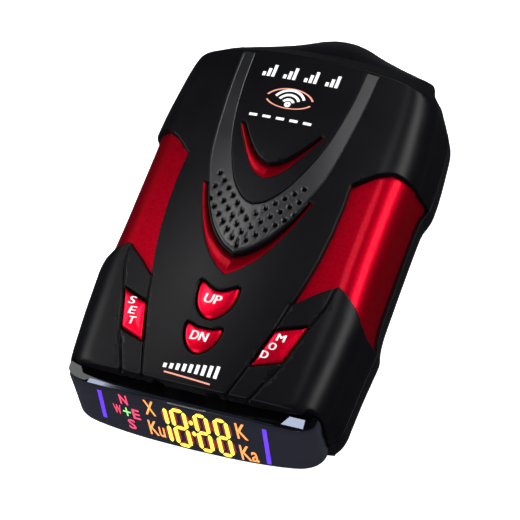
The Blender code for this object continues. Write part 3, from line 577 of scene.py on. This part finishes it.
def refined(fine, columns, closed):
    """Faces over a lattice: a fine cell keeps every lattice quad, and any other cell is one face."""
    cells_up, cells_round = fine.shape
    faces = []

    def at(row, column):
        return row * columns + (column % columns if closed else column)

    def is_fine(i, j):
        if closed:
            j %= cells_round
        return 0 <= i < cells_up and 0 <= j < cells_round and fine[i, j]

    for i in range(cells_up):
        for j in range(cells_round):
            r, c = i * REFINE, j * REFINE
            if fine[i, j]:
                for a in range(r, r + REFINE):
                    for b in range(c, c + REFINE):
                        faces.append([at(a, b), at(a, b + 1), at(a + 1, b + 1), at(a + 1, b)])
                continue
            sides = ((i - 1, j), (i, j + 1), (i + 1, j), (i, j - 1))
            step = [1 if is_fine(*side) else REFINE for side in sides]
            loop = [at(r, c + k) for k in range(0, REFINE, step[0])]
            loop += [at(r + k, c + REFINE) for k in range(0, REFINE, step[1])]
            loop += [at(r + REFINE, c + REFINE - k) for k in range(0, REFINE, step[2])]
            loop += [at(r + REFINE - k, c) for k in range(0, REFINE, step[3])]
            faces.append(loop)
    return faces


def used_only(points, faces):
    """Drops the points that no face uses."""
    used = sorted({i for face in faces for i in face})
    place = {old: new for new, old in enumerate(used)}
    return points[used], [[place[i] for i in face] for face in faces]


def build_upper_shell():
    rings = case_net(0.0, 0.0, SEAM_HIGH)
    rows, columns = rings.shape[:2]
    normals = net_normals(rings).reshape(-1, 3)
    half = REFINE // 2
    centres = rings[half::REFINE, half::REFINE]
    near = carve(centres.reshape(-1, 3))[1].reshape(centres.shape[:2])
    faces = refined(near < FINE_WITHIN, columns, True)
    flat = rings.reshape(-1, 3)
    used = np.array(sorted({i for face in faces for i in face}))
    shaped = flat.copy()
    shaped[used] -= normals[used] * carve(flat[used])[0][:, None]
    brow = np.clip((shaped[:, 2] - BROW_Z) / 0.4, 0, 1)
    lip = (shaped[:, 1] < SILL_Y) & (np.abs(shaped[:, 0]) < 35.4)
    shaped[:, 1] = np.where(lip, SILL_Y + (shaped[:, 1] - SILL_Y) * brow, shaped[:, 1])
    foot = np.column_stack([inward(base_line, 2.0), np.full(columns, SEAM_HIGH)])
    shaped = np.vstack([shaped, foot])
    start = rows * columns
    corners = list(range(0, columns, REFINE))
    for j, corner in enumerate(corners):
        step = 1 if near[0, j] < 0.95 else REFINE
        top = [(corner + REFINE - k) % columns for k in range(0, REFINE + 1, step)]
        faces.append([start + corner, start + (corner + REFINE) % columns, *top])
    points, faces = used_only(shaped, faces)
    return piece("upper_shell", points, faces, black_abs, slot="case_black", replaces=("top_case",))


SCREW_X = 29.4
SCREW_Y = (-37.0, 34.6)
SCREW_RECESS = 2.7
RECESS_TOP = BASE_Z + 3.0


def build_lower_shell():
    outline = base_line[::REFINE]
    profile = [(BASE_Z, 2.6), (BASE_Z + 0.15, 2.1), (BASE_Z + 0.5, 1.5), (BASE_Z + 1.1, 1.0),
               (BASE_Z + 2.4, 0.5), (5.0, 0.25), (SEAM_LOW - 0.05, 0.0), (SEAM_LOW, 0.05), (SEAM_LOW, 2.0)]
    rings = np.array([np.column_stack([inward(outline, inset), np.full(len(outline), z)])
                      for z, inset in profile])
    points, faces = net(rings)
    turns = np.linspace(0, math.tau, 33)[:-1]
    round_way = np.column_stack([np.cos(turns), np.sin(turns)]) * SCREW_RECESS
    circles = [round_way + np.array([SCREW_X * sign, y]) for sign in (-1, 1) for y in SCREW_Y]
    loops = [rings[0][:, :2], *circles]
    flat = np.vstack(loops)
    under = tessellate_polygon([[Vector((x, y, 0)) for x, y in loop] for loop in loops])
    base = len(points)
    faces += [[base + i for i in triangle] for triangle in under]
    points = np.vstack([points, np.column_stack([flat, np.full(len(flat), BASE_Z)])])
    for circle in circles:
        well = np.array([np.column_stack([circle, np.full(len(circle), z)]) for z in (BASE_Z, RECESS_TOP)])
        well_points, well_faces = net(well)
        well_faces.append(list(range(len(circle), 2 * len(circle))))
        faces += [[len(points) + i for i in face] for face in well_faces]
        points = np.vstack([points, well_points])
    return piece("lower_shell", points, faces, black_abs, slot="case_black", replaces=("bottom_case",),
                 angle=40)


def build_trims():
    rings = case_net(TRIM_SIDE_DROP, TRIM_TOP_DROP, SEAM_HIGH + 0.2)
    points, faces = net(rings[::2, ::REFINE])
    plan = points[:, :2]
    for name, outline in trim_outlines.items():
        keep = signed_gap(plan, outline) < 1.0
        chosen = [f for f in faces if keep[f[0]] and keep[f[1]] and keep[f[2]] and keep[f[3]]]
        piece("side_trim_panel_" + name, *used_only(points, chosen), red_lacquer,
              slot="trim_red", replaces=("side_trim_" + name,))


def strip_net(inner, outer, along, shares, height):
    """A net across a strip: rows from the inner to the outer edge, with height(x, y, share)."""
    inside = both_arms(inner, along)
    outside = both_arms(outer, along)
    rows = []
    for share in shares:
        at = inside + (outside - inside) * min(max(share, 0), 1)
        rows.append(np.column_stack([at, height(at[:, 0], at[:, 1], share)]))
    return np.array(rows)


HOLE_RADIUS = 0.6
HOLE_DEPTH = 1.6
PLATE_CELLS = 10
holes = np.array([(2.0 * k, -4.4 - 4.0 * row + 2.0 * abs(k)) for row in range(3) for k in range(-6, 7)])


def hole_gap(x, y):
    return np.min(np.hypot(x[..., None] - holes[:, 0], y[..., None] - holes[:, 1]), axis=-1)


def build_grille():
    def height(x, y, share):
        base = crown(x, y) + 0.15 - 0.5 * share
        rim = 0.25 * (ease(share, 0.93, 0.97) - ease(share, 0.985, 1.0))
        away = hole_gap(x, y)
        flare = 0.09 * (1 - ease(away, HOLE_RADIUS, HOLE_RADIUS + 0.35))
        return base + rim - flare - HOLE_DEPTH * (1 - ease(away, HOLE_RADIUS - 0.15, HOLE_RADIUS + 0.1))

    shares = np.linspace(0, 1, PLATE_CELLS * REFINE + 1)
    rows = strip_net(BAND_INNER, BAND_OUTER, 6 * REFINE, shares, height)
    rows[0, :, 2] -= 1.2
    rows[-1, :, 2] -= 1.2
    half = REFINE // 2
    centres = rows[half::REFINE, half::REFINE]
    fine = hole_gap(centres[..., 0], centres[..., 1]) < HOLE_RADIUS + 0.8
    fine[0] = fine[-1] = True
    faces = refined(fine, rows.shape[1], False)
    piece("speaker_plate", *used_only(rows.reshape(-1, 3), faces), grille_abs, slot="grille_black",
          replaces=("speaker_grille",))


def build_scoops():
    for name, inner, outer in (("upper", UPPER_INNER, UPPER_OUTER), ("lower", LOWER_INNER, LOWER_OUTER)):
        def height(x, y, share):
            return crown(x, y) - 0.25 - 1.5 * (1 - share) ** 1.5

        rows = strip_net(inner, outer, 24, np.linspace(0, 1, 16), height)
        points, faces = net(rows, closed=False)
        piece(name + "_scoop", points, faces, red_lacquer, slot="accent_red", replaces=("accent_" + name,))


def build_keys():
    bodies = {"button_up": "key_up", "button_down": "key_down", "button_set": "key_set",
              "button_mode": "key_mode"}
    for node, outline in key_outlines.items():
        cap = inward(outline, 0.5)
        middle = cap.mean(0)
        rows = []
        for share, drop in ((1.0, KEY_SKIRT_DROP), (1.0, 0.9), (0.985, 0.62), (0.955, 0.45), (0.91, 0.36),
                            (0.8, 0.28), (0.6, 0.2), (0.35, 0.15), (0.12, 0.14), (0.0, 0.14)):
            at = middle + (cap - middle) * share
            rows.append(np.column_stack([at, crown(at[:, 0], at[:, 1]) - drop]))
        points, faces = net(np.array(rows))
        # the caps take the brighter red lacquer, a painted highlight on each key
        piece(node + "_cap", points, faces, key_lacquer_painted_highlight, body=bodies[node], slot="key_red", replaces=(node,))


def head_curve(points, shrink, back, steps=10):
    line = both_arms(points, steps)
    line = np.column_stack([line[:, 0] * (1 - shrink / 35.0), np.minimum(line[:, 1] + shrink, back)])
    return line


def head_ring(z, shrink, back=SILL_Y - 0.3):
    share = (z - HEAD_LOW) / (HEAD_HIGH - HEAD_LOW)
    line = head_curve(HEAD_FOOT, shrink, back) * (1 - share) + head_curve(HEAD_BROW, shrink, back) * share
    return np.column_stack([line, np.full(len(line), z)])


LEDGE_EDGE_X = [-34.0, -29.0, -27.6, -26.4, -23.0, -12.0, 0.0, 12.0, 24.5, 34.0]
LEDGE_EDGE_WIDTH = [0.03, 0.03, 0.95, 0.9, 0.75, 0.65, 0.55, 0.4, 0.03, 0.03]


def build_head():
    cover = [(HEAD_LOW + 0.1, 2.0), (HEAD_LOW, 1.6), (HEAD_LOW, 0.6), (HEAD_LOW + 0.15, 0.25),
             (HEAD_LOW + 0.6, 0.0)]
    cover += [(z, 0.0) for z in np.linspace(HEAD_LOW + 1.2, HEAD_HIGH - 2.4, 14)]
    cover += [(HEAD_HIGH - 1.5, 0.25), (HEAD_HIGH - 1.25, 0.4), (HEAD_HIGH - 1.2, 0.8)]
    rows = np.array([head_ring(z, shrink) for z, shrink in cover])
    points, faces = net(rows, closed=False)
    piece("display_cover", points, faces, smoked_acrylic, slot="display_acrylic", replaces=("display_lens",),
          angle=40)
    front = head_ring(HEAD_HIGH - 0.8, 0.25)
    width = np.interp(front[:, 0], LEDGE_EDGE_X, LEDGE_EDGE_WIDTH)
    upper = front.copy()
    upper[:, 1] = np.minimum(front[:, 1] + width, SILL_Y - 0.32)
    upper[:, 2] = HEAD_HIGH
    shown = (front[:, 0] > -28.8) & (front[:, 0] < 24.6)
    points, faces = net(np.array([front[shown], upper[shown]]), closed=False)
    piece("ledge_edge", points, faces, edge_gloss, slot="head_black", smooth=False)
    under = head_ring(HEAD_LOW + 0.3, 2.2)
    tuck = head_ring(HEAD_HIGH - 0.8, 2.0)
    back = upper.copy()
    back[:, 1] = SILL_Y - 0.3
    back[:, 2] = HEAD_HIGH
    points, faces = net(np.array([under, tuck, front, upper, back]), closed=False)
    lowered = points - np.array([0, 0, 0.02])
    piece("display_shelf", lowered, faces, head_gloss, slot="head_black", replaces=("display_housing",),
          angle=30)
    build_ledge_facet()


def build_ledge_facet():
    """The small raised facet at the ledge's right end."""
    x0, x1, y0, y1, rise = 26.6, 32.0, -55.1, -52.9, 0.73
    z = HEAD_HIGH + 0.02
    points = [(x0 - 0.6, y0, z), (x1, y0, z), (x1, y1, z), (x0 + 1.2, y1, z),
              (x1, y1, z + rise), (x0 + 1.2, y1, z + rise)]
    faces = [[0, 1, 4, 5], [1, 2, 4], [0, 5, 3], [2, 3, 5, 4], [0, 3, 2, 1]]
    piece("ledge_facet", points, faces, edge_gloss, slot="head_black", smooth=False)


def build_rear_window():
    low, crest, high = (both_arms(w, 10) for w in (WINDOW_LOW, WINDOW_CREST, WINDOW_HIGH))
    rows = [np.column_stack([low, np.full(len(low), 6.0)])]
    for share, z in ((0.45, 7.2), (0.8, 9.0), (0.97, 10.4)):
        rows.append(np.column_stack([low + (crest - low) * share, np.full(len(low), z)]))
    for share in np.linspace(0, 1, 16):
        line = crest + (high - crest) * share
        z = 11.0 + 8.6 * share + 1.1 * math.sin(math.pi * share)
        rows.append(np.column_stack([line, np.full(len(line), z)]))
    rows = np.array(rows)
    base = rows[0].copy()
    base[:, 1] = 53.0
    rows = np.concatenate([base[None], rows])
    points, faces = net(rows, closed=False)
    piece("rear_window", points, faces, infrared_acrylic, slot="rear_acrylic", replaces=("rear_lens",),
          angle=60)


# ---------------------------------------------------------------- printed and lit marks

def lettering(text, size, slant=0.0, weight=0.0):
    """Flat letters as points and faces, centred."""
    data = bpy.data.curves.new("letters", "FONT")
    data.body = text
    data.size = size
    data.shear = slant
    data.offset = weight
    data.align_x = "CENTER"
    data.align_y = "CENTER"
    data.resolution_u = 3
    holder = bpy.data.objects.new("letters", data)
    bpy.context.scene.collection.objects.link(holder)
    graph = bpy.context.evaluated_depsgraph_get()
    mesh = bpy.data.meshes.new_from_object(holder.evaluated_get(graph))
    points = np.array([v.co[:2] for v in mesh.vertices])
    faces = [list(f.vertices) for f in mesh.polygons]
    bpy.data.objects.remove(holder, do_unlink=True)
    return points, faces


def spin(points, degrees):
    c, s = math.cos(math.radians(degrees)), math.sin(math.radians(degrees))
    return points @ np.array([[c, s], [-s, c]])


def on_top(points, lift=0.04):
    return np.column_stack([points, crown(points[:, 0], points[:, 1]) + lift])


def on_cover(points, lift=0.05):
    """Maps x and height to a place on the display cover's leaning face."""
    foot = head_curve(HEAD_FOOT, 0, SILL_Y)
    brow = head_curve(HEAD_BROW, 0, SILL_Y)
    out = []
    for x, z in points:
        share = (z - HEAD_LOW) / (HEAD_HIGH - HEAD_LOW)
        line = foot * (1 - share) + brow * share
        out.append((x, np.interp(x, line[:, 0], line[:, 1]) - lift, z))
    return np.array(out)


def glyph(text, x, y, wide, tall, slant=0.0, weight=0.0, turn=0.0):
    """Letters fitted to a width and height about a centre."""
    points, faces = lettering(text, 1.0, 0.0, weight)
    low, high = points.min(0), points.max(0)
    points = (points - (low + high) / 2) / (high - low) * np.array([wide, tall])
    points[:, 0] += slant * points[:, 1]
    return spin(points, turn) + np.array([x, y]), faces


def bar(x0, y0, x1, y1, half):
    """A straight bar with pointed ends, as a seven-segment display has."""
    a = np.array([x0, y0], float)
    b = np.array([x1, y1], float)
    run = (b - a) / np.linalg.norm(b - a)
    off = np.array([-run[1], run[0]]) * half
    tip = run * half
    return np.array([a, a + tip + off, b - tip + off, b, b - tip - off, a + tip - off]), [[0, 1, 2, 3, 4, 5]]


SEGMENTS = {"8": "abcdefg", "1": "bc"}


def digit(text, x, y, wide, tall, slant, half):
    ends = {"a": ((0, 1), (1, 1)), "b": ((1, 0.5), (1, 1)), "c": ((1, 0), (1, 0.5)), "d": ((0, 0), (1, 0)),
            "e": ((0, 0), (0, 0.5)), "f": ((0, 0.5), (0, 1)), "g": ((0, 0.5), (1, 0.5))}
    shapes = []
    for s in SEGMENTS[text]:
        (ax, ay), (bx, by) = ends[s]
        ay, by = ay * tall, by * tall
        ax, bx = ax * wide, bx * wide
        dx, dy = bx - ax, by - ay
        size = math.hypot(dx, dy)
        pad = half * 0.35 / size
        shapes.append(bar(x + ax + dx * pad + slant * ay, y + ay + dy * pad,
                          x + bx - dx * pad + slant * by, y + by - dy * pad, half))
    return shapes


def merge(shapes):
    points = np.vstack([p for p, _ in shapes])
    faces = []
    base = 0
    for p, f in shapes:
        faces += [[i + base for i in one] for one in f]
        base += len(p)
    return points, faces


DIGIT_SLANT = -0.08
DIGIT_LOW = 8.3
DIGIT_TALL = 11.9
COMPASS = [("N", -18.3, 19.3), ("W", -20.6, 15.2), ("E", -15.2, 15.0), ("S", -17.0, 10.9)]
BANDS = [("X", -10.9, 18.7, 3.0, 5.0), ("Ku", -9.7, 11.7, 4.4, 5.0), ("K", 14.9, 17.9, 3.0, 5.4),
         ("Ka", 16.2, 10.3, 4.8, 5.2)]


def build_display_marks():
    lit = []
    glow = []
    for half, shapes in ((0.56, lit), (1.15, glow)):
        shapes += digit("1", -8.6, DIGIT_LOW, 3.0, DIGIT_TALL, DIGIT_SLANT, half)
        for x, wide in ((-3.7, 3.5), (2.9, 3.1), (8.5, 3.1)):
            shapes += digit("8", x, DIGIT_LOW, wide, DIGIT_TALL, DIGIT_SLANT, half)
        for x, z in ((0.7, 17.0), (1.2, 13.3)):
            shapes.append(bar(x, z - 0.9, x, z + 0.9, half))
    points, faces = merge(glow)
    piece("digit_glow", on_cover(points, 0.03), faces, halo_lamp, slot="display_acrylic", smooth=False)
    points, faces = merge(lit)
    piece("display_digits", on_cover(points, 0.09), faces, amber_lamp, slot="display_acrylic", smooth=False)
    for text, x, z in COMPASS:
        points, faces = glyph(text, x, z, 2.2, 3.4, DIGIT_SLANT, 0.02)
        piece("compass_" + text.lower(), on_cover(points), faces, pink_lamp, slot="display_acrylic",
              smooth=False)
    points, faces = glyph("+", -17.9, 15.1, 2.2, 3.0, DIGIT_SLANT)
    piece("compass_centre", on_cover(points), faces, green_lamp, slot="display_acrylic", smooth=False)
    for text, x, z, wide, tall in BANDS:
        points, faces = glyph(text, x, z, wide, tall, DIGIT_SLANT, 0.01)
        piece("band_" + text.lower(), on_cover(points), faces, orange_lamp, slot="display_acrylic",
              smooth=False)
    for name, x, low, high in (("left", -25.1, 10.3, 20.6), ("right", 21.4, 7.8, 20.6)):
        points, faces = merge([block(x, z, 1.2, (high - low) / 8) for z in np.linspace(low, high, 9)[:-1]
                               + (high - low) / 16])
        piece("level_bar_" + name, on_cover(points), faces, violet_lamp, slot="display_acrylic", smooth=False)


def block(x, y, wide, tall):
    """A small upright rectangle about a centre."""
    w, h = wide / 2, tall / 2
    return np.array([(x - w, y - h), (x + w, y - h), (x + w, y + h), (x - w, y + h)]), [[0, 1, 2, 3]]


def arc(x, y, radius, low, high, thick, flat=1.0, steps=18):
    """A run of an ellipse's rim, drawn with a stroke."""
    turns = np.radians(np.linspace(low, high, steps))
    rim = np.column_stack([np.cos(turns), np.sin(turns) * flat])
    points = np.vstack([rim * (radius - thick / 2), rim * (radius + thick / 2)]) + np.array([x, y])
    return points, [[k, k + 1, k + 1 + steps, k + steps] for k in range(steps - 1)]


KEY_LABELS = [
    ("label_up", "key_up", [("UP", -0.5, -28.9, 4.5, 2.6)]),
    ("label_down", "key_down", [("DN", -0.4, -39.7, 4.5, 2.5)]),
    ("label_set", "key_set", [("S", -22.0, -33.4, 1.8, 2.1), ("E", -20.9, -36.2, 1.8, 2.1),
                              ("T", -20.1, -39.0, 1.9, 2.1)]),
    ("label_mode", "key_mode", [("M", 20.4, -34.9, 2.1, 2.0), ("O", 19.0, -37.7, 1.9, 2.0),
                                ("D", 17.8, -40.4, 1.8, 2.0)]),
]
LABEL_LIFT = -0.09


def build_prints():
    for name, body, letters in KEY_LABELS:
        points, faces = merge([glyph(text, x + shift, y, wide, tall, 0.10)
                               for text, x, y, wide, tall in letters for shift in (-0.09, 0.0, 0.09)])
        piece(name, on_top(points, LABEL_LIFT), faces, white_ink, body=body, slot="key_red", smooth=False)
    strokes = []
    for group in range(4):
        for k in range(3):
            tall = 1.3 * (k + 1)
            strokes.append(block(-11.4 + 6.1 * group + 1.35 * k, 39.8 + 0.5 * tall, 0.9, tall))
    for radius in (1.6, 3.1, 4.6):
        strokes.append(arc(-1.4, 31.8, radius, 28, 152, 0.75))
    strokes.append(arc(-1.4, 31.8, 0.55, 0, 360, 0.7))
    for k in range(5):
        strokes.append(block(-9.6 + 3.9 * k, 27.0, 2.3, 0.8))
    for k in range(9):
        tall = 1.2 + 0.28 * k
        strokes.append(block(-6.4 + 1.75 * k, -50.1 + 0.5 * tall, 0.95, tall))
    points, faces = merge(strokes)
    piece("top_print_white", on_top(points), faces, white_ink, slot="case_black", smooth=False)
    strokes = [arc(-1.4, 32.6, 6.9, 20, 160, 0.55, 0.62), arc(-1.4, 34.0, 6.9, 205, 335, 0.55, 0.5)]
    for x in np.linspace(-5.8, 6.7, 26):
        strokes.append(block(x, -51.2 - 0.055 * (x + 6.1), 0.52, 0.42))
    points, faces = merge(strokes)
    piece("top_print_orange", on_top(points), faces, orange_ink, slot="case_black", smooth=False)


build_upper_shell()
build_lower_shell()
build_trims()
build_grille()
build_scoops()
build_keys()
build_head()
build_rear_window()
build_display_marks()
build_prints()


# ---------------------------------------------------------------- carried-over CAD nodes

finishes = {
    "foot_": foot_rubber, "case_screw": zinc_steel, "board_screw": zinc_steel, "key_board_screw": zinc_steel,
    "main_board": solder_mask, "key_board": solder_mask, "display_board": solder_mask,
    "display_module": smoked_acrylic, "speaker_frame": zinc_steel, "speaker_cone": cone_paper,
    "horn_antenna": cast_zinc, "laser_sensor": socket_nylon, "laser_lens": infrared_acrylic,
    "gps_antenna": fired_ceramic, "power_jack": socket_nylon, "switch_": socket_nylon,
}
for node_name, node_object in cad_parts.items():
    for start in sorted(finishes, key=len):
        if node_name.startswith(start):
            node_object.data.materials.clear()
            node_object.data.materials.append(finishes[start])


# ---------------------------------------------------------------- floor and light

def build_floor():
    mesh = bpy.data.meshes.new("floor")
    half = 4.0
    corners = [(-half, -half, 0), (half, -half, 0), (half, half, 0), (-half, half, 0)]
    mesh.from_pydata(corners, [], [[0, 1, 2, 3]])
    made, tree, shader = surface("pale_studio_floor", {"Base Color": linear("#f2f2f2"), "Roughness": 0.95,
                                                       "Specular IOR Level": 0.0,
                                                       "Emission Color": linear("#ffffff"),
                                                       "Emission Strength": 0.97})
    mesh.materials.append(made)
    floor = bpy.data.objects.new("floor", mesh)
    bpy.context.scene.collection.objects.link(floor)
    floor.location.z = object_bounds()[0][2] - 0.0002
    floor.visible_glossy = False


def softbox(name, direction, distance, wide, tall, radiance, aim=(0, 0, 0.02)):
    """A rectangular softbox of a given brightness, facing the object."""
    data = bpy.data.lights.new(name, "AREA")
    data.shape = "RECTANGLE"
    data.size = wide
    data.size_y = tall
    data.energy = radiance * wide * tall * math.pi
    lamp_object = bpy.data.objects.new(name, data)
    bpy.context.scene.collection.objects.link(lamp_object)
    way = Vector(direction).normalized()
    lamp_object.location = Vector(aim) + way * distance
    lamp_object.rotation_euler = (-way).to_track_quat("-Z", "Y").to_euler()
    return lamp_object


build_floor()
world = bpy.data.worlds.new("studio")
bpy.context.scene.world = world
world.use_nodes = True
world.node_tree.nodes["Background"].inputs["Color"].default_value = linear("#e9edf4")
world.node_tree.nodes["Background"].inputs["Strength"].default_value = 0.05
softbox("strip_right", (0.78, 0.41, 0.40), 0.9, 0.8, 0.26, 13.0)
softbox("overhead_right_rear", (0.22, 0.41, 0.89), 0.9, 0.24, 0.22, 9.0)
softbox("broad_left", (-0.82, 0.08, 0.56), 0.9, 0.36, 0.40, 7.5)
softbox("front_low", (-0.34, -0.80, 0.46), 0.9, 0.7, 0.40, 6.5)
softbox("overhead_front", (-0.34, -0.24, 0.91), 0.9, 0.25, 0.2, 8.0)
softbox("front_sheen", (-0.36, 0.39, 0.84), 0.27, 0.09, 0.034, 15.0, aim=(-0.024, -0.033, 0.03))
softbox("rear_scoop", (0.04, 0.80, 0.59), 0.9, 0.4, 0.2, 6.0)
bpy.context.scene.view_settings.view_transform = "Standard"
